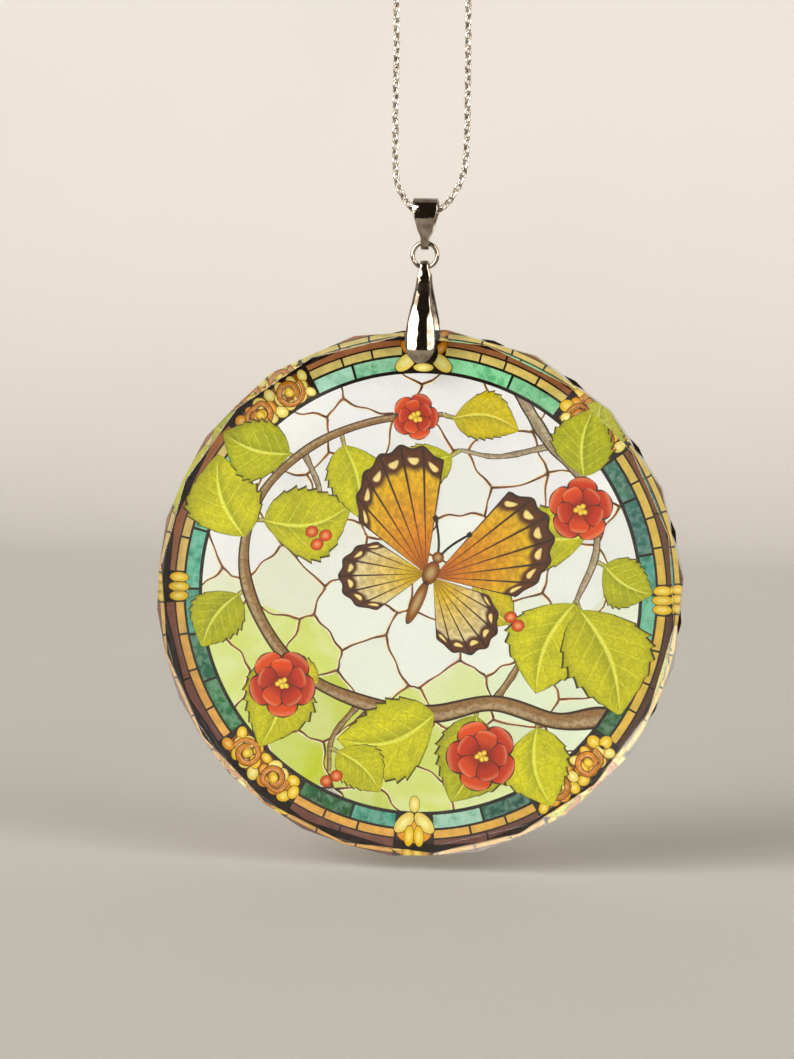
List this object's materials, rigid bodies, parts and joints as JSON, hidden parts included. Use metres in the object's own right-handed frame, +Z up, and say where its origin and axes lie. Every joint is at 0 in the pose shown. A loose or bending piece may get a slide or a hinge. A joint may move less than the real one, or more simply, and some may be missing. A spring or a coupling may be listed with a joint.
{
  "type": "printed glass suncatcher",
  "caption": "Round clear faceted glass disc with a printed stained-glass style picture, hung from a fine chain by a pinch clip, jump ring and folded band.",
  "frame": {"origin": "the underside of the top of the chain's loop, where a hook carries it", "axes": "+Z up, away from the disc; -Y is the bevelled front; +X to the right as seen from the front"},
  "size_m": [0.0752, 0.009, 0.1316],
  "materials": {
    "clear_glass": "clear polished glass, picture printed on the flat back face",
    "bright_plating": "mirror-bright silver-coloured plating",
    "chain_metal": "bright silver-coloured links"
  },
  "bodies": {
    "hanger": {"chain": "chain_metal", "bail_band": "bright_plating", "jump_ring": "bright_plating", "pinch_clip": "bright_plating"},
    "disc": {"glass_disc": "clear_glass"}
  },
  "joints": [
    {"name": "disc_swing", "type": "hinge", "parent": "hanger", "child": "disc", "pos_m": [0, 0, -0.0585], "axis": [0, 1, 0], "range_deg": [-45, 45]}
  ]
}
